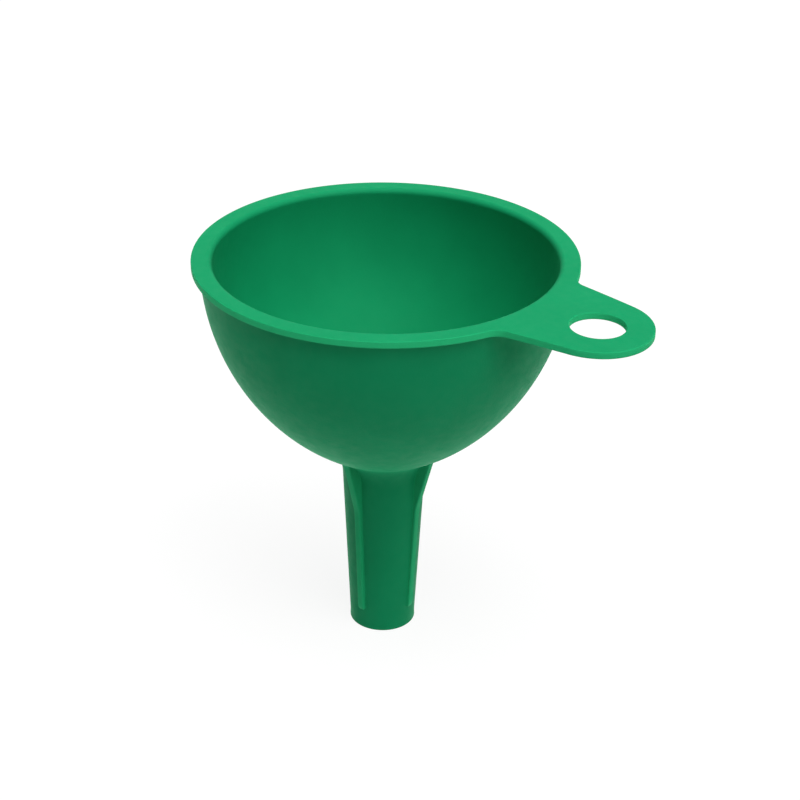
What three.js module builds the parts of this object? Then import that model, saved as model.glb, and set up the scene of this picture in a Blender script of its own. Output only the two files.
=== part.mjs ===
// Silicone kitchen funnel: a deep round bowl with a flat rim flange, a hanging tab with a round
// hole, and a tapered stem with four air-vent ribs that flare out under the bowl.
//
// Millimetres, +Z up. The Z axis is the funnel's own axis. The origin lies on it at the level
// where the ribs begin to flare, which is where the mouth of a bottle stops the funnel.
// The tab points along +X, and the ribs stand at 0, 90, 180 and 270 degrees.
//
// The real funnel is one moulding. Each region of it is a mesh of its own here, and the meshes
// meet face to face, except for the ribs, which stand a hair clear of the stem.

import * as THREE from 'three';

// ---- Driving dimensions -------------------------------------------------------------------

// Rim flange
const RIM_TOP_Z = 64.4;
const RIM_RADIUS = 45;
const FLANGE_THICKNESS = 1.7;
const MOUTH_EDGE_RADIUS = 1.2;       // soft round between the flange's top and the inside

// Bowl: a drafted wall under the flange that runs into an arc, which bends into the stem
const BOWL_ARC_RADIUS = 56.35;       // outside
const BOWL_ARC_CENTRE_R = -13.28;    // the arc's centre lies beyond the axis
const BOWL_ARC_CENTRE_Z = RIM_TOP_Z - 0.53;
const BOWL_DRAFT_DEG = 8.65;
const BOWL_WALL = 2.9;
const ROOT_FILLET_RADIUS = 9.2;      // outside, between bowl and stem
const THROAT_RADIUS = 11.7;          // inside, between bowl and bore

// Stem and outlet
const TIP_Z = -35.1;
const TIP_RADIUS = 8;
const STEM_TAPER = 0.0485;           // growth of the radius per millimetre of height
const STEM_WALL = 2.1;
const TIP_JOINT_Z = -30.6;           // the plain outlet tip lies below this level

// Vent ribs
const RIB_COUNT = 4;
const RIB_THICKNESS = 1.85;
const RIB_RADIUS = 10.6;             // at the origin's level
const RIB_TAPER = 0.055;             // growth of the rib's radius per millimetre below the origin
const RIB_FLARE = 0.28;              // and above it
const RIB_END_Z = -29.7;
const RIB_END_CHAMFER = 0.2;
const RIB_CLEARANCE = 0.02;

// Hanging tab
const TAB_HOLE_RADIUS = 6.2;
const TAB_HOLE_X = 58;
const TAB_END_RADIUS = 13.15;
const TAB_END_CENTRE_X = 57.15;
const TAB_ROOT_HALF_WIDTH = 15;      // where the straight sides would reach x = RIM_RADIUS
const TAB_FILLET_RADIUS = 4;

// Colours: the same silicone, as light as it looks on each region
const FLANGE_GREEN = 0x2aa677;
const BOWL_GREEN = 0x1b7752;
const STEM_GREEN = 0x14704e;
const RIB_GREEN = 0x148458;

// Fineness of the round shapes
const ROUND_SEGMENTS = 64;
const BOWL_ARC_STEPS = 9;
const FILLET_STEPS = 5;
const EDGE_STEPS = 3;
const HOLE_STEPS = 32;

// ---- Shared helpers -----------------------------------------------------------------------

const degrees = THREE.MathUtils.degToRad;
const point = (x, y) => new THREE.Vector2(x, y);

// Points along a circular arc, both ends included; angles in radians from the first axis.
function arc(centreX, centreY, radius, start, end, steps) {
  const points = [];
  for (let i = 0; i <= steps; i += 1) {
    const angle = start + ((end - start) * i) / steps;
    points.push(point(centreX + radius * Math.cos(angle), centreY + radius * Math.sin(angle)));
  }
  return points;
}

function silicone(colour) {
  return new THREE.MeshStandardMaterial({ color: colour, roughness: 0.55, metalness: 0 });
}

// A ring-shaped solid from a closed profile of (radius, z) points, listed up the inside wall
// and down the outside wall. The lathe takes them the other way round.
function turned(name, profile, colour) {
  const loop = [...profile, profile[0]].reverse();
  const geometry = new THREE.LatheGeometry(loop, ROUND_SEGMENTS);
  geometry.rotateX(Math.PI / 2);
  const mesh = new THREE.Mesh(geometry, silicone(colour));
  mesh.name = name;
  return mesh;
}

// ---- Wall lines that several pieces share -------------------------------------------------

const taperLength = Math.hypot(1, STEM_TAPER);
const taperAngle = Math.atan(STEM_TAPER);
const stemRadius = (z) => TIP_RADIUS + STEM_TAPER * (z - TIP_Z);
const boreRadius = (z) => stemRadius(z) - STEM_WALL;
const flangeUnderZ = RIM_TOP_Z - FLANGE_THICKNESS;

// The round of radius `bend` that leads from a bowl arc of radius `bowl` into a stem line whose
// radius at z = 0 is `lineRadius`: its centre, and the angle at which it leaves the bowl arc.
function bendIntoStem(bowl, bend, lineRadius) {
  const reach = bowl + bend;
  const offset = lineRadius + STEM_TAPER * BOWL_ARC_CENTRE_Z - BOWL_ARC_CENTRE_R;
  const leave = taperAngle + Math.acos((bend + offset / taperLength) / reach);
  return {
    leave,
    r: BOWL_ARC_CENTRE_R + reach * Math.cos(leave),
    z: BOWL_ARC_CENTRE_Z - reach * Math.sin(leave),
  };
}

// A bowl wall from the angle `start` below the horizontal down to the foot of its bend.
function bowlWall(bowl, bend, lineRadius, start) {
  const turn = bendIntoStem(bowl, bend, lineRadius);
  return [
    ...arc(BOWL_ARC_CENTRE_R, BOWL_ARC_CENTRE_Z, bowl, -start, -turn.leave, BOWL_ARC_STEPS),
    ...arc(turn.r, turn.z, bend, Math.PI - turn.leave, Math.PI - taperAngle, FILLET_STEPS).slice(1),
  ];
}

const draft = degrees(BOWL_DRAFT_DEG);
const outerWall = bowlWall(BOWL_ARC_RADIUS, ROOT_FILLET_RADIUS, stemRadius(0), draft);
const stemJointZ = outerWall.at(-1).y;

// Inside, the arc starts at the flange's underside.
const innerArcRadius = BOWL_ARC_RADIUS - BOWL_WALL;
const innerStart = Math.asin((BOWL_ARC_CENTRE_Z - flangeUnderZ) / innerArcRadius);
const innerWall = bowlWall(innerArcRadius, THROAT_RADIUS, boreRadius(0), innerStart);
const mouthRadius = innerWall[0].x;

// Outside, the drafted wall carries the arc's first slope on up to the flange.
const wallTopRadius = outerWall[0].x + Math.tan(draft) * (flangeUnderZ - outerWall[0].y);

// ---- The pieces ---------------------------------------------------------------------------

function rimFlange() {
  const edge = arc(
    mouthRadius + MOUTH_EDGE_RADIUS, RIM_TOP_Z - MOUTH_EDGE_RADIUS, MOUTH_EDGE_RADIUS,
    Math.PI, Math.PI / 2, EDGE_STEPS,
  );
  const profile = [
    point(mouthRadius, flangeUnderZ),
    ...edge,
    point(RIM_RADIUS, RIM_TOP_Z),
    point(RIM_RADIUS, flangeUnderZ),
  ];
  return turned('rim_flange', profile, FLANGE_GREEN);
}

function bowl() {
  const inside = [point(boreRadius(stemJointZ), stemJointZ), ...[...innerWall].reverse()];
  const outside = [point(wallTopRadius, flangeUnderZ), ...outerWall];
  return turned('bowl', [...inside, ...outside], BOWL_GREEN);
}

// A straight length of the tapered tube between two levels.
function tube(name, bottomZ, topZ) {
  const profile = [
    point(boreRadius(bottomZ), bottomZ),
    point(boreRadius(topZ), topZ),
    point(stemRadius(topZ), topZ),
    point(stemRadius(bottomZ), bottomZ),
  ];
  return turned(name, profile, STEM_GREEN);
}

// The tab's outline: along the flange's edge, round the root fillet, out along the side, round
// the end, and back the same way on the other side.
function hangingTab() {
  // The side is tangent to the end circle and passes through the root's half width.
  const run = TAB_END_CENTRE_X - RIM_RADIUS;
  const lean = Math.acos(TAB_END_RADIUS / Math.hypot(run, TAB_ROOT_HALF_WIDTH))
    - Math.atan2(run, TAB_ROOT_HALF_WIDTH);
  const sideDistance = TAB_END_CENTRE_X * Math.sin(lean) + TAB_END_RADIUS;

  // The root fillet touches the rim circle and the side from outside.
  const filletReach = RIM_RADIUS + TAB_FILLET_RADIUS;
  const filletAngle = Math.asin((sideDistance + TAB_FILLET_RADIUS) / filletReach) - lean;
  const filletX = filletReach * Math.cos(filletAngle);
  const filletY = filletReach * Math.sin(filletAngle);
  const filletStart = Math.PI + filletAngle;
  const filletEnd = 1.5 * Math.PI - lean;

  const side = [
    ...arc(filletX, filletY, TAB_FILLET_RADIUS, filletStart, filletEnd, FILLET_STEPS),
    ...arc(TAB_END_CENTRE_X, 0, TAB_END_RADIUS, Math.PI / 2 - lean, 0, 2 * FILLET_STEPS),
  ];
  const mirrored = side.slice(0, -1).reverse().map((p) => point(p.x, -p.y));

  const root = [];
  const facet = (2 * Math.PI) / ROUND_SEGMENTS;
  const facets = Math.floor(filletAngle / facet);
  for (let i = -facets; i <= facets; i += 1) {
    root.push(point(RIM_RADIUS * Math.cos(i * facet), RIM_RADIUS * Math.sin(i * facet)));
  }

  const outline = new THREE.Shape([...root, ...side, ...mirrored]);
  const holeEdge = arc(TAB_HOLE_X, 0, TAB_HOLE_RADIUS, 0, 2 * Math.PI, HOLE_STEPS);
  outline.holes.push(new THREE.Path(holeEdge.slice(1)));   // runs against the outline
  const geometry = new THREE.ExtrudeGeometry(outline, {
    depth: FLANGE_THICKNESS,
    bevelEnabled: false,
  });
  const mesh = new THREE.Mesh(geometry, silicone(FLANGE_GREEN));
  mesh.name = 'hanging_tab';
  mesh.position.z = flangeUnderZ;
  return mesh;
}

// A rib seen from the side: up its outer edge, along the flare to the bowl, and back down the
// bowl's and the stem's outside.
function ventRib(index) {
  const ribRadius = (z) => RIB_RADIUS + (z < 0 ? RIB_TAPER : RIB_FLARE) * z;
  const covered = outerWall.filter((p) => p.x < ribRadius(p.y));
  const above = outerWall[outerWall.indexOf(covered[0]) - 1];

  // The flare ends where it crosses the wall between the last point outside and the first inside.
  const excess = above.x - ribRadius(above.y);
  const shortfall = ribRadius(covered[0].y) - covered[0].x;
  const top = above.clone().lerp(covered[0], excess / (excess + shortfall));

  const foot = point(stemRadius(RIB_END_Z), RIB_END_Z);
  const wall = [top, ...covered, foot].map((p) => point(p.x + RIB_CLEARANCE, p.y));
  const edge = [
    point(ribRadius(RIB_END_Z) - RIB_END_CHAMFER, RIB_END_Z),
    point(ribRadius(RIB_END_Z), RIB_END_Z + RIB_END_CHAMFER),
    point(ribRadius(0), 0),
  ];
  const geometry = new THREE.ExtrudeGeometry(new THREE.Shape([...edge, ...wall]), {
    depth: RIB_THICKNESS,
    bevelEnabled: false,
  });
  geometry.translate(0, 0, -RIB_THICKNESS / 2);
  geometry.rotateX(Math.PI / 2);

  const mesh = new THREE.Mesh(geometry, silicone(RIB_GREEN));
  mesh.name = `vent_rib_${index + 1}`;
  mesh.rotation.z = (2 * Math.PI * index) / RIB_COUNT;
  return mesh;
}

const funnel = new THREE.Group();
funnel.add(rimFlange(), hangingTab(), bowl());
funnel.add(tube('stem_tube', TIP_JOINT_Z, stemJointZ), tube('outlet_tip', TIP_Z, TIP_JOINT_Z));
for (let i = 0; i < RIB_COUNT; i += 1) funnel.add(ventRib(i));

export default funnel;
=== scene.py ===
"""Silicone kitchen funnel: the moulded surfaces and the material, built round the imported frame.

The funnel is one moulding. Each piece here stands for one CAD node and shares its neighbours'
edges, so the seams don't show. Shapes are worked out in millimetres in the row frame: Z is the
funnel's axis, the tab points along +X, and the ribs stand at 0, 90, 180 and 270 degrees.
"""

import math

import bmesh
import bpy
import numpy as np
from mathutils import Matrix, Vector
from mathutils.geometry import tessellate_polygon


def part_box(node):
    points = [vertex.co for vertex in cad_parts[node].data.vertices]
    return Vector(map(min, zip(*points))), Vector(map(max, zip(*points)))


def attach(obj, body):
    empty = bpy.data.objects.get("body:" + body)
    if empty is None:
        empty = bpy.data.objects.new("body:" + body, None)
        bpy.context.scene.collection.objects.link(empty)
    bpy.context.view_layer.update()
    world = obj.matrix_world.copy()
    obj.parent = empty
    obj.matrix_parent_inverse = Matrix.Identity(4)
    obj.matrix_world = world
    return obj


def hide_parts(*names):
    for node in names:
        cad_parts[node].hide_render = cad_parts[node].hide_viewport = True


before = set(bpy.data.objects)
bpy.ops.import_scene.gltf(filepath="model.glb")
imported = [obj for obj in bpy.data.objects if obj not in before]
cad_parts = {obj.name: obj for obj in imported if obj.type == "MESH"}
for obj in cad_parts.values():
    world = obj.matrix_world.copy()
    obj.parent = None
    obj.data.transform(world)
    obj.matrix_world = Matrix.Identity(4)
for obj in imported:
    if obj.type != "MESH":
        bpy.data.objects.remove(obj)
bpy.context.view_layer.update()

MM = 0.001

# ---- Dimensions ---------------------------------------------------------------------------

# Taken from the frame
rim_low, rim_high = (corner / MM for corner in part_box("rim_flange"))
tip_low, tip_high = (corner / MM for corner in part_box("outlet_tip"))
rib_low, rib_high = (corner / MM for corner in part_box("vent_rib_1"))

RIM_TOP_Z = rim_high.z
RIM_UNDER_Z = rim_low.z
RIM_RADIUS = rim_high.x
TIP_Z = tip_low.z
TIP_JOINT_Z = tip_high.z
STEM_JOINT_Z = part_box("bowl")[0].z / MM
RIB_END_Z = rib_low.z
RIB_TOP_Z = rib_high.z
RIB_THICKNESS = rib_high.y - rib_low.y
TAB_END_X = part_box("hanging_tab")[1].x / MM

# Bowl and stem walls, as in the part
BOWL_ARC_RADIUS = 56.35
BOWL_ARC_CENTRE_R = -13.28
BOWL_ARC_CENTRE_Z = RIM_TOP_Z - 0.53
BOWL_DRAFT = math.radians(8.65)
BOWL_WALL = 2.9
ROOT_FILLET_RADIUS = 9.2
THROAT_RADIUS = 11.7
TIP_RADIUS = 8
STEM_TAPER = 0.0485
STEM_WALL = 2.1

# Ribs and tab, as in the part
RIB_COUNT = 4
RIB_RADIUS = 10.6
RIB_TAPER = 0.055
RIB_FLARE = 0.28
TAB_HOLE_RADIUS = 6.2
TAB_HOLE_X = 58
TAB_END_RADIUS = 13.15
TAB_END_CENTRE_X = TAB_END_X - TAB_END_RADIUS
TAB_ROOT_HALF_WIDTH = 15
TAB_FILLET_RADIUS = 4
TAB_SAG = 0.51                # how far the soft tab's end hangs down

# Moulded edges
MOUTH_ROUND = 1.3
RIM_EDGE_ROUND = 0.25
UNDER_RIM_FILLET = 0.5
RIM_SEAM_DROP = 0.1           # from that fillet down to the seam between rim and bowl
TIP_EDGE_ROUND = 0.2
TIP_LIP = 0.12                # how much the outlet's edge stands out
TIP_LIP_HEIGHT = 1.5
RIB_EDGE_ROUND = 0.35
RIB_ROOT_FILLET = 0.3
RIB_END_LENGTH = 2            # over which a rib's lower end rises to its full height
RIB_END_ROUND = 0.9           # over which that end widens to its full thickness
RIB_END_WIDTH = 0.35          # and the share of the thickness that it starts with
RIB_TOP_LENGTH = 0.6          # over which its top dies out on the bowl
RIB_TOP_BLEND = 0.08
RIB_KINK_BLEND = 1            # how softly its edge turns into the flare
RIB_SINK = 0.3                # how far a rib's hidden back sits inside the wall

# Fineness
ROUND_SEGMENTS = 256
WALL_STEP = 0.8               # along a wall's arcs
EDGE_STEPS = 6                # in each small edge round
RIB_STATION_STEP = 0.3
TAB_STEPS = 24                # in the tab's root fillet, and half as many as in its end
TAB_SLICE = 1                 # along the tab, so that its flat faces can bend
SLICE_TOLERANCE = 0.0001
ROUNDED_SHARE = 0.9           # the most of a rib's height that its fillet and round take up
SAME_LEVEL = 0.001            # points closer than this in height are one point
SHARP_ANGLE = math.radians(40)

# Painted glow where the silicone is thin: how far the base colour is lightened, as painted light
# standing in for light shining through it, from 0, a wall, to 1, an edge
FLAT_PAINTED_GLOW = 0.2           # the flange's and the tab's flat faces
RIB_SIDE_PAINTED_GLOW = 0.3       # a rib's sides, next to its outer face
RIB_FACE_PAINTED_GLOW = 0.7       # and the outer face


# ---- Profile helpers ----------------------------------------------------------------------


def arc(centre, radius, start, end, steps):
    """Points on a circular arc, both ends included, as an array of (x, y)."""
    angles = np.linspace(start, end, steps + 1)
    return np.column_stack(
        [centre[0] + radius * np.cos(angles), centre[1] + radius * np.sin(angles)]
    )


def wall_arc(centre, radius, start, end):
    """An arc with its points about WALL_STEP apart."""
    steps = max(4, math.ceil(radius * abs(end - start) / WALL_STEP))
    return arc(centre, radius, start, end, steps)


def stem_radius(z):
    return TIP_RADIUS + STEM_TAPER * (z - TIP_Z)


def bore_radius(z):
    return stem_radius(z) - STEM_WALL


def wall_line(bowl, bend, line_radius, start):
    """A bowl wall from the angle start below the horizontal to the foot of its bend."""
    taper_angle = math.atan(STEM_TAPER)
    reach = bowl + bend
    offset = line_radius + STEM_TAPER * BOWL_ARC_CENTRE_Z - BOWL_ARC_CENTRE_R
    leave = taper_angle + math.acos((bend + offset / math.hypot(1, STEM_TAPER)) / reach)
    bend_centre = (
        BOWL_ARC_CENTRE_R + reach * math.cos(leave),
        BOWL_ARC_CENTRE_Z - reach * math.sin(leave),
    )
    bowl_centre = (BOWL_ARC_CENTRE_R, BOWL_ARC_CENTRE_Z)
    return np.vstack(
        [
            wall_arc(bowl_centre, bowl, -start, -leave),
            wall_arc(bend_centre, bend, math.pi - leave, math.pi - taper_angle)[1:],
        ]
    )


def cut_at(line, *levels):
    """The (radius, z) line, which runs down, with a point added at each level."""
    for z in levels:
        radius = np.interp(-z, -line[:, 1], line[:, 0])
        place = np.searchsorted(-line[:, 1], -z)
        if np.min(np.abs(line[:, 1] - z)) > SAME_LEVEL:
            line = np.insert(line, place, (radius, z), axis=0)
    return line


def between(line, high, low):
    """The part of a line from one level down to another."""
    keep = (line[:, 1] <= high + SAME_LEVEL) & (line[:, 1] >= low - SAME_LEVEL)
    return line[keep]


# ---- Mesh helpers -------------------------------------------------------------------------


def grid_faces(rows, columns, closed_rows):
    """Quads over a grid of vertices whose columns run round a closed loop."""
    faces = []
    for row in range(rows if closed_rows else rows - 1):
        here, there = row * columns, (row + 1) % rows * columns
        for column in range(columns):
            after = (column + 1) % columns
            faces.append((here + column, there + column, there + after, here + after))
    return faces


def add_piece(name, points, faces, painted_glow, node):
    """A closed silicone piece from points in millimetres, standing for one CAD node."""
    mesh = bpy.data.meshes.new(name)
    mesh.from_pydata((np.asarray(points) * MM).tolist(), [], faces)
    # Each point's share of painted glow, which lightens the colour where the silicone is thin
    mesh.attributes.new("painted_glow", "FLOAT", "POINT").data.foreach_set("value", painted_glow)
    mesh.shade_smooth()
    mesh.set_sharp_from_angle(angle=SHARP_ANGLE)
    mesh.materials.append(SILICONE)
    piece = bpy.data.objects.new(name, mesh)
    bpy.context.scene.collection.objects.link(piece)
    weighting = piece.modifiers.new("even_shading", "WEIGHTED_NORMAL")
    weighting.keep_sharp = True
    weighting.weight = 100    # large flat faces decide the shading of their rounds
    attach(piece, "root")
    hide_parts(node)
    return piece


def add_turned(name, profile, painted_glow, node):
    """A ring-shaped piece from a closed (radius, z) profile: up the inside, down the outside."""
    angles = np.arange(ROUND_SEGMENTS) * (2 * math.pi / ROUND_SEGMENTS)
    radius, z = profile[:, :1], profile[:, 1:]
    points = np.stack(
        [radius * np.cos(angles), radius * np.sin(angles), z + 0 * angles], axis=2
    ).reshape(-1, 3)
    faces = grid_faces(len(profile), ROUND_SEGMENTS, True)
    return add_piece(name, points, faces, np.repeat(painted_glow, ROUND_SEGMENTS), node)


# ---- Material -----------------------------------------------------------------------------

SILICONE_DEEP = (0.002, 0.279, 0.106, 1)
SILICONE_PALE = (0.003, 0.304, 0.117, 1)
# The lighter green of the painted glow on thin places, standing in for light shining through them
SILICONE_PAINTED_GLOW = (0.022, 0.560, 0.215, 1)
SILICONE_IOR = 1.41
SILICONE_GLOSS = 0.15          # how strongly it reflects, where 0.5 is plain for its IOR
ROUGHNESS = (0.65, 0.75)       # its least and most

# The middle part of a noise's values, which the colours and the roughness are spread over
NOISE_LOW, NOISE_HIGH = 0.3, 0.7

CLOUD_SCALE = 70               # the noises' scales are per metre
PATCH_SCALE = 450
GRAIN_SCALE = 2200
GRAIN_STRENGTH = 0.35
GRAIN_DEPTH = 0.06


def add_noise(nodes, links, coords, scale, detail, name):
    noise = nodes.new("ShaderNodeTexNoise")
    noise.name = name
    noise.inputs["Scale"].default_value = scale
    noise.inputs["Detail"].default_value = detail
    links.new(coords.outputs["Object"], noise.inputs["Vector"])
    return noise


def add_range(nodes, links, source, low, high, name):
    """Spreads a noise's middle values over the range from low to high."""
    spread = nodes.new("ShaderNodeMapRange")
    spread.name = name
    spread.inputs["From Min"].default_value = NOISE_LOW
    spread.inputs["From Max"].default_value = NOISE_HIGH
    spread.inputs["To Min"].default_value = low
    spread.inputs["To Max"].default_value = high
    links.new(source.outputs["Fac"], spread.inputs["Value"])
    return spread


def silicone_material():
    """Matte green silicone: faintly uneven colour, fine grain, and a painted glow, a lighter
    colour where it is thin that stands in for light shining through.
    """
    material = bpy.data.materials.new("green_silicone")
    material.use_nodes = True
    nodes, links = material.node_tree.nodes, material.node_tree.links
    shader = nodes["Principled BSDF"]
    coords = nodes.new("ShaderNodeTexCoord")

    cloudy = add_noise(nodes, links, coords, CLOUD_SCALE, detail=3, name="cloudy")
    colour = nodes.new("ShaderNodeValToRGB")
    colour.color_ramp.elements[0].position = NOISE_LOW
    colour.color_ramp.elements[0].color = SILICONE_DEEP
    colour.color_ramp.elements[1].position = NOISE_HIGH
    colour.color_ramp.elements[1].color = SILICONE_PALE
    links.new(cloudy.outputs["Fac"], colour.inputs["Fac"])

    # Painted glow: thin places are lightened towards the paler green, standing in for light
    # shining through
    painted_glow = nodes.new("ShaderNodeAttribute")
    painted_glow.attribute_name = "painted_glow"
    painted_glow_mix = nodes.new("ShaderNodeMix")
    painted_glow_mix.data_type = "RGBA"
    painted_glow_mix.inputs["B"].default_value = SILICONE_PAINTED_GLOW
    links.new(painted_glow.outputs["Fac"], painted_glow_mix.inputs["Factor"])
    links.new(colour.outputs["Color"], painted_glow_mix.inputs["A"])
    links.new(painted_glow_mix.outputs["Result"], shader.inputs["Base Color"])

    patches = add_noise(nodes, links, coords, PATCH_SCALE, detail=2, name="patches")
    rough = add_range(nodes, links, patches, *ROUGHNESS, "roughness")
    links.new(rough.outputs["Result"], shader.inputs["Roughness"])

    grain = add_noise(nodes, links, coords, GRAIN_SCALE, detail=2, name="grain")
    bump = nodes.new("ShaderNodeBump")
    bump.inputs["Strength"].default_value = GRAIN_STRENGTH
    bump.inputs["Distance"].default_value = GRAIN_DEPTH * MM
    links.new(grain.outputs["Fac"], bump.inputs["Height"])
    links.new(bump.outputs["Normal"], shader.inputs["Normal"])

    shader.inputs["IOR"].default_value = SILICONE_IOR
    shader.inputs["Specular IOR Level"].default_value = SILICONE_GLOSS
    return material


SILICONE = silicone_material()


# ---- Walls that several pieces share ------------------------------------------------------

rim_seam_z = RIM_UNDER_Z - UNDER_RIM_FILLET - RIM_SEAM_DROP

outer_arc = wall_line(BOWL_ARC_RADIUS, ROOT_FILLET_RADIUS, stem_radius(0), BOWL_DRAFT)
wall_slope = math.tan(BOWL_DRAFT)


def outer_radius_above(z):
    """The drafted wall's radius between the bowl's arc and the flange."""
    return outer_arc[0, 0] + wall_slope * (z - outer_arc[0, 1])


tip_round_radius = stem_radius(TIP_Z + TIP_EDGE_ROUND) + TIP_LIP
outer_tip_round = arc(
    (tip_round_radius - TIP_EDGE_ROUND, TIP_Z + TIP_EDGE_ROUND),
    TIP_EDGE_ROUND, 0, -math.pi / 2, EDGE_STEPS,
)
inner_tip_radius = bore_radius(TIP_Z + TIP_EDGE_ROUND)
inner_tip_round = arc(
    (inner_tip_radius + TIP_EDGE_ROUND, TIP_Z + TIP_EDGE_ROUND),
    TIP_EDGE_ROUND, math.pi, 1.5 * math.pi, EDGE_STEPS,
)

outer_line = cut_at(
    np.vstack(
        [
            [(outer_radius_above(rim_seam_z), rim_seam_z)],
            outer_arc,
            [(stem_radius(TIP_Z + TIP_LIP_HEIGHT), TIP_Z + TIP_LIP_HEIGHT)],
            outer_tip_round,
        ]
    ),
    STEM_JOINT_Z, TIP_JOINT_Z,
)

inner_arc_radius = BOWL_ARC_RADIUS - BOWL_WALL
mouth_round_z = RIM_TOP_Z - MOUTH_ROUND
mouth_angle = math.asin((BOWL_ARC_CENTRE_Z - mouth_round_z) / inner_arc_radius)
inner_arc = wall_line(inner_arc_radius, THROAT_RADIUS, bore_radius(0), mouth_angle)
inner_line = cut_at(
    np.vstack([inner_arc, inner_tip_round]), rim_seam_z, STEM_JOINT_Z, TIP_JOINT_Z
)


# ---- The pieces ---------------------------------------------------------------------------


def add_wall_piece(name, high, low, node):
    """The ring of wall between two levels."""
    inside = between(inner_line, high, low)[::-1]
    outside = between(outer_line, high, low)
    profile = np.vstack([inside, outside])
    return add_turned(name, profile, np.zeros(len(profile)), node)


def flange_edge(outer):
    """Down the flange's or the tab's rounded edge: its (radius, z) points and their share of
    painted glow.
    """
    inset = outer - RIM_EDGE_ROUND
    upper_z, lower_z = RIM_TOP_Z - RIM_EDGE_ROUND, RIM_UNDER_Z + RIM_EDGE_ROUND
    upper = arc((inset, upper_z), RIM_EDGE_ROUND, math.pi / 2, 0, EDGE_STEPS)
    lower = arc((inset, lower_z), RIM_EDGE_ROUND, 0, -math.pi / 2, EDGE_STEPS)
    # Painted glow rising towards the edge
    rise = np.linspace(FLAT_PAINTED_GLOW, 1, EDGE_STEPS + 1)
    return np.vstack([upper, lower]), np.concatenate([rise, rise[::-1]])


def add_rim():
    mouth = inner_arc[0, 0]
    inside = between(inner_line, mouth_round_z, rim_seam_z)[::-1]
    mouth_round = arc(
        (mouth + MOUTH_ROUND, mouth_round_z), MOUTH_ROUND, math.pi, math.pi / 2, 2 * EDGE_STEPS
    )[1:]
    edge, edge_painted_glow = flange_edge(RIM_RADIUS)
    wall_radius = outer_radius_above(RIM_UNDER_Z - UNDER_RIM_FILLET)
    fillet = arc(
        (wall_radius + UNDER_RIM_FILLET, RIM_UNDER_Z - UNDER_RIM_FILLET),
        UNDER_RIM_FILLET, math.pi / 2, math.pi, EDGE_STEPS,
    )
    seam = [(outer_radius_above(rim_seam_z), rim_seam_z)]
    profile = np.vstack([inside, mouth_round, edge, fillet, seam])
    # Painted glow: none on the inner wall, rising over the mouth round and the edge, dying out
    # down the fillet
    painted_glow = np.concatenate(
        [
            np.zeros(len(inside)),
            np.linspace(0, FLAT_PAINTED_GLOW, len(mouth_round)),
            edge_painted_glow,
            np.linspace(FLAT_PAINTED_GLOW, 0, len(fillet)),
            [0],
        ]
    )
    return add_turned("funnel_rim", profile, painted_glow, "rim_flange")


def rib_line(z):
    """The radius of a rib's outer edge at a level, and its growth with height."""
    middle, swing = (RIB_FLARE + RIB_TAPER) / 2, (RIB_FLARE - RIB_TAPER) / 2
    reach = math.hypot(z, RIB_KINK_BLEND)
    return RIB_RADIUS + middle * z + swing * reach, middle + swing * z / reach


def rib_section(half, height):
    """A rib's half section as (sideways, outward) points, from its root to its outer face."""
    share = min(1, ROUNDED_SHARE * height / (RIB_ROOT_FILLET + RIB_EDGE_ROUND))
    root, edge = share * RIB_ROOT_FILLET, share * RIB_EDGE_ROUND
    turns = np.linspace(0, math.pi / 2, EDGE_STEPS + 1)
    fillet = np.column_stack(
        [half + root - root * np.sin(turns), root - root * np.cos(turns)]
    )
    corner = np.column_stack(
        [half - edge + edge * np.cos(turns), height - edge + edge * np.sin(turns)]
    )
    return np.vstack([fillet, corner])


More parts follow.
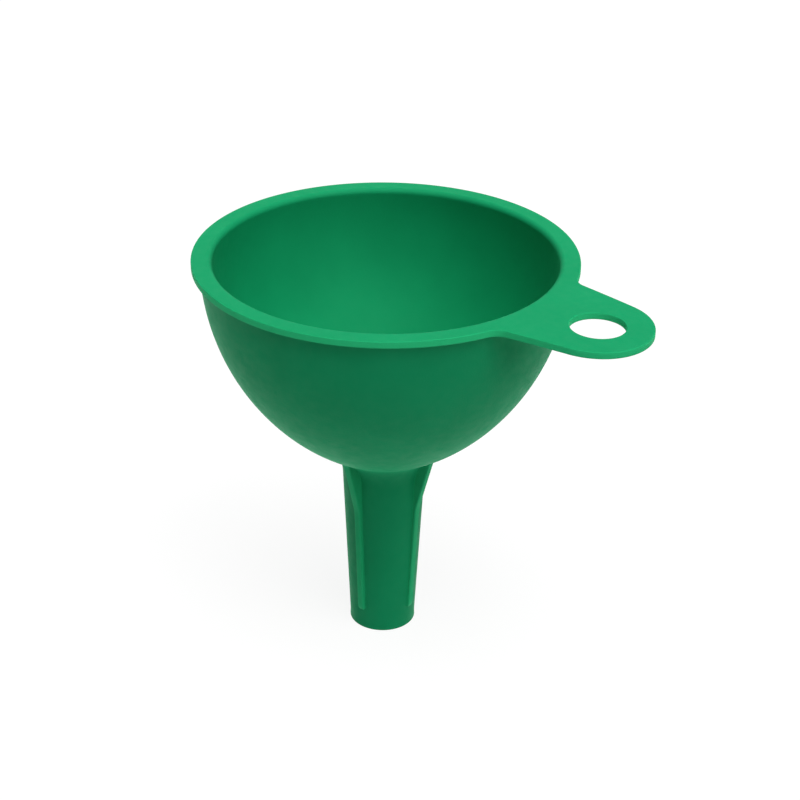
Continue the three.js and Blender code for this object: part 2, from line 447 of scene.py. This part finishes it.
def add_rib(index):
    """A vent rib with filleted roots, lofted along the wall from its foot up into the bowl."""
    wall = outer_line[::-1]
    end_turns = np.linspace(0, math.pi / 2, 2 * EDGE_STEPS + 1)[:-1]
    end_levels = RIB_END_Z + RIB_END_LENGTH * (1 - np.cos(end_turns))
    straight_z = RIB_END_Z + RIB_END_LENGTH
    straight_levels = np.arange(straight_z, RIB_TOP_Z + RIB_TOP_LENGTH, RIB_STATION_STEP)
    levels = np.concatenate([end_levels, straight_levels])
    radii = np.interp(levels, wall[:, 1], wall[:, 0])
    slopes = np.gradient(radii, levels)
    lengths = np.hypot(1, slopes)

    rings = []
    for z, radius, out_r, out_z in zip(levels, radii, 1 / lengths, -slopes / lengths):
        # How far the rib stands out, square to the wall
        edge_radius, growth = rib_line(z)
        height = (edge_radius - radius) / (out_r - growth * out_z)
        rise = min(1, (z - RIB_END_Z) / RIB_END_LENGTH)
        height *= math.sqrt(1 - (1 - rise) ** 2)
        height = (height + math.hypot(height, RIB_TOP_BLEND)) / 2

        narrowing = max(0, 1 - (z - RIB_END_Z) / RIB_END_ROUND)
        width = RIB_END_WIDTH + (1 - RIB_END_WIDTH) * math.sqrt(1 - narrowing**2)
        half = rib_section(width * RIB_THICKNESS / 2, height)
        foot = half[0, 0]
        sideways = np.concatenate([half[:, 0], -half[::-1, 0], [-foot, foot]])
        outward = np.concatenate([half[:, 1], half[::-1, 1], [-RIB_SINK, -RIB_SINK]])
        x = np.sqrt(radius**2 - sideways**2) + out_r * outward
        rings.append(np.column_stack([x, sideways, z + out_z * outward]))

    count = len(rings[0])
    faces = grid_faces(len(rings), count, False)
    last = (len(rings) - 1) * count
    faces.append(tuple(range(count)))
    faces.append(tuple(last + i for i in reversed(range(count))))
    turn = 2 * math.pi * index / RIB_COUNT
    turning = np.array(
        [[math.cos(turn), math.sin(turn), 0], [-math.sin(turn), math.cos(turn), 0], [0, 0, 1]]
    )

    # Painted glow from the root up the side, round the corner to the outer face, and the same way
    # back
    side = np.linspace(0, RIB_SIDE_PAINTED_GLOW, EDGE_STEPS + 1)
    corner = np.linspace(RIB_SIDE_PAINTED_GLOW, RIB_FACE_PAINTED_GLOW, EDGE_STEPS + 1)
    half_painted_glow = np.concatenate([side, corner])
    painted_glow = np.concatenate([half_painted_glow, half_painted_glow[::-1], [0, 0]])
    return add_piece(
        f"funnel_rib_{index + 1}", np.vstack(rings) @ turning, faces,
        np.tile(painted_glow, len(rings)), f"vent_rib_{index + 1}",
    )


def tab_outline():
    """The tab's edge from root to root: its points and the directions straight out of it."""
    run = TAB_END_CENTRE_X - RIM_RADIUS
    lean = math.acos(TAB_END_RADIUS / math.hypot(run, TAB_ROOT_HALF_WIDTH))
    lean -= math.atan2(run, TAB_ROOT_HALF_WIDTH)
    side_distance = TAB_END_CENTRE_X * math.sin(lean) + TAB_END_RADIUS
    reach = RIM_RADIUS + TAB_FILLET_RADIUS
    fillet_angle = math.asin((side_distance + TAB_FILLET_RADIUS) / reach) - lean
    fillet_centre = np.array([reach * math.cos(fillet_angle), reach * math.sin(fillet_angle)])
    end_centre = np.array([TAB_END_CENTRE_X, 0])

    fillet = arc(
        fillet_centre, TAB_FILLET_RADIUS, math.pi + fillet_angle, 1.5 * math.pi - lean, TAB_STEPS
    )
    end = arc(end_centre, TAB_END_RADIUS, math.pi / 2 - lean, 0, 2 * TAB_STEPS)
    half = np.vstack([fillet, end])
    outward = np.vstack(
        [(fillet_centre - fillet) / TAB_FILLET_RADIUS, (end - end_centre) / TAB_END_RADIUS]
    )
    flip = np.array([1, -1])
    points = np.vstack([half, half[-2::-1] * flip])
    directions = np.vstack([outward, outward[-2::-1] * flip])
    return points, directions, fillet_angle


def sag_tab(mesh):
    """Bends the tab down towards its end, finely sliced, and turns all its faces outward."""
    shape = bmesh.new()
    shape.from_mesh(mesh)
    for x in np.arange(RIM_RADIUS, TAB_END_X, TAB_SLICE):
        everything = [*shape.verts, *shape.edges, *shape.faces]
        bmesh.ops.bisect_plane(
            shape, geom=everything, dist=SLICE_TOLERANCE * MM,
            plane_co=(x * MM, 0, 0), plane_no=(1, 0, 0),
        )
    for vert in shape.verts:
        reach = max(0, vert.co.x / MM - RIM_RADIUS) / (TAB_END_X - RIM_RADIUS)
        vert.co.z -= TAB_SAG * reach**2 * MM
    bmesh.ops.recalc_face_normals(shape, faces=shape.faces)
    shape.to_mesh(mesh)
    shape.free()


def add_tab():
    """A flat plate with rounded edges and a round hole. Its root covers the rim's edge round."""
    outline, directions, root_angle = tab_outline()
    edge, edge_painted_glow = flange_edge(0)
    hole_segments = ROUND_SEGMENTS // 2
    hole_angles = np.arange(hole_segments) * (2 * math.pi / hole_segments)
    root_angles = np.linspace(-root_angle, root_angle, 2 * TAB_STEPS)[1:-1]
    root_radius = RIM_RADIUS - RIM_EDGE_ROUND

    # Columns of points down the outer edge and down the hole's wall, then the hidden root
    rows = len(edge)
    columns = len(outline)
    points = []
    for inset, z in edge:
        for place, direction in zip(outline, directions):
            points.append((*(place + inset * direction), z))
    for inset, z in edge:
        radius = TAB_HOLE_RADIUS - inset
        for angle in hole_angles:
            points.append(
                (TAB_HOLE_X + radius * math.cos(angle), radius * math.sin(angle), z)
            )
    for z in (RIM_TOP_Z, RIM_UNDER_Z):
        for angle in root_angles:
            points.append((root_radius * math.cos(angle), root_radius * math.sin(angle), z))

    hole_start = rows * columns
    root_start = hole_start + rows * hole_segments
    root_count = len(root_angles)
    faces = []
    for row in range(rows - 1):
        for column in range(columns - 1):
            a = row * columns + column
            faces.append((a, a + 1, a + columns + 1, a + columns))
        for column in range(hole_segments):
            a = hole_start + row * hole_segments + column
            b = hole_start + row * hole_segments + (column + 1) % hole_segments
            faces.append((a, b, b + hole_segments, a + hole_segments))

    def level_loop(row, root_row):
        outer = [row * columns + i for i in range(columns)]
        root = [root_start + root_row * root_count + i for i in range(root_count)]
        hole = [hole_start + row * hole_segments + i for i in range(hole_segments)]
        return outer + root, hole

    for row, root_row in ((0, 0), (rows - 1, 1)):
        outer, hole = level_loop(row, root_row)
        loops = [[Vector(points[i]) for i in loop] for loop in (outer, hole)]
        numbers = outer + hole
        faces += [tuple(numbers[i] for i in t) for t in tessellate_polygon(loops)]

    # The wall along the root, and its two narrow ends
    top, bottom = level_loop(0, 0)[0], level_loop(rows - 1, 1)[0]
    top_root, bottom_root = top[columns - 1:] + top[:1], bottom[columns - 1:] + bottom[:1]
    for a, b, c, d in zip(top_root, top_root[1:], bottom_root[1:], bottom_root):
        faces.append((a, b, c, d))
    faces.append(tuple(row * columns for row in range(rows)))
    faces.append(tuple(row * columns + columns - 1 for row in range(rows)))

    # Painted glow on the tab's rounded edges, the hole's wall and the flat faces
    painted_glow = np.concatenate(
        [
            np.repeat(edge_painted_glow, columns),
            np.repeat(edge_painted_glow, hole_segments),
            np.full(2 * root_count, FLAT_PAINTED_GLOW),
        ]
    )
    piece = add_piece("funnel_tab", points, faces, painted_glow, "hanging_tab")
    sag_tab(piece.data)
    return piece


add_rim()
add_tab()
add_wall_piece("funnel_bowl", rim_seam_z, STEM_JOINT_Z, "bowl")
add_wall_piece("funnel_stem", STEM_JOINT_Z, TIP_JOINT_Z, "stem_tube")
add_wall_piece("funnel_tip", TIP_JOINT_Z, TIP_Z, "outlet_tip")
for rib_index in range(RIB_COUNT):
    add_rib(rib_index)


# ---- Floor, light and camera --------------------------------------------------------------

FLOOR_HALF_SIZE = 6            # metres
FLOOR_GREY = 0.15
FLOOR_ROUGHNESS = 0.9
FLOOR_GLOW = 0.9
SURROUNDINGS_STRENGTH = 1.5

CAMERA_AZIMUTH = 37.87
CAMERA_ELEVATION = 23.98
CAMERA_DISTANCE = 452.2        # to the middle of the mouth
CAMERA_AIM_Z = 26.4            # the level on the funnel's axis that it looks at
CAMERA_AIM_RIGHT = 3.71        # and how far to the right of the axis
CAMERA_ROLL = 0.833
CAMERA_LENS = 87.8
CAMERA_SENSOR = 36


def add_floor():
    """A white floor that glows a little, so that the funnel's shadow on it stays faint."""
    mesh = bpy.data.meshes.new("floor")
    size, level = FLOOR_HALF_SIZE, TIP_Z * MM
    sides = [(-size, -size), (size, -size), (size, size), (-size, size)]
    corners = [(x, y, level) for x, y in sides]
    mesh.from_pydata(corners, [], [(0, 1, 2, 3)])
    material = bpy.data.materials.new("white_floor")
    material.use_nodes = True
    shader = material.node_tree.nodes["Principled BSDF"]
    shader.inputs["Base Color"].default_value = (FLOOR_GREY, FLOOR_GREY, FLOOR_GREY, 1)
    shader.inputs["Roughness"].default_value = FLOOR_ROUGHNESS
    shader.inputs["Specular IOR Level"].default_value = 0
    shader.inputs["Emission Color"].default_value = (1, 1, 1, 1)
    shader.inputs["Emission Strength"].default_value = FLOOR_GLOW
    mesh.materials.append(material)
    floor = bpy.data.objects.new("floor", mesh)
    bpy.context.scene.collection.objects.link(floor)

    # The light that the floor throws back comes from the light under it.
    floor.visible_diffuse = False
    floor.visible_glossy = False
    floor.visible_shadow = False


def from_camera_side(azimuth, elevation):
    """A unit vector: azimuth 0 is the side that faces -Y."""
    a, e = math.radians(azimuth), math.radians(elevation)
    return Vector((math.sin(a) * math.cos(e), -math.cos(a) * math.cos(e), math.sin(e)))


def add_light(name, azimuth, elevation, strength, spread):
    """A broad, even light from far away in the given direction."""
    data = bpy.data.lights.new(name, "SUN")
    data.energy = strength
    data.angle = math.radians(spread)
    sun = bpy.data.objects.new(name, data)
    sun.rotation_mode = "QUATERNION"
    sun.rotation_quaternion = from_camera_side(azimuth, elevation).to_track_quat("Z", "Y")
    bpy.context.scene.collection.objects.link(sun)


def add_camera():
    data = bpy.data.cameras.new("camera")
    data.sensor_width = CAMERA_SENSOR
    data.lens = CAMERA_LENS
    camera = bpy.data.objects.new("camera", data)
    mouth = Vector((0, 0, RIM_TOP_Z))
    place = mouth + from_camera_side(CAMERA_AZIMUTH, CAMERA_ELEVATION) * CAMERA_DISTANCE
    right = from_camera_side(CAMERA_AZIMUTH + 90, 0)
    aim = Vector((0, 0, CAMERA_AIM_Z)) + right * CAMERA_AIM_RIGHT
    camera.rotation_euler = (place - aim).to_track_quat("Z", "Y").to_euler()
    camera.rotation_euler.rotate_axis("Z", math.radians(CAMERA_ROLL))
    camera.location = place * MM
    bpy.context.scene.collection.objects.link(camera)
    bpy.context.scene.camera = camera


def add_world():
    """White surroundings, which show only in reflections and behind the floor."""
    world = bpy.data.worlds.new("studio")
    world.use_nodes = True
    background = world.node_tree.nodes["Background"]
    background.inputs["Color"].default_value = (1, 1, 1, 1)
    background.inputs["Strength"].default_value = SURROUNDINGS_STRENGTH
    world.cycles_visibility.diffuse = False
    bpy.context.scene.world = world


add_floor()
add_world()
add_light("top_light", CAMERA_AZIMUTH, elevation=80, strength=2.12, spread=50)
add_light("key_light", CAMERA_AZIMUTH + 45, elevation=50, strength=1.33, spread=50)
add_light("floor_light", CAMERA_AZIMUTH, elevation=-90, strength=1.62, spread=170)
add_camera()
bpy.context.scene.view_settings.view_transform = "Standard"
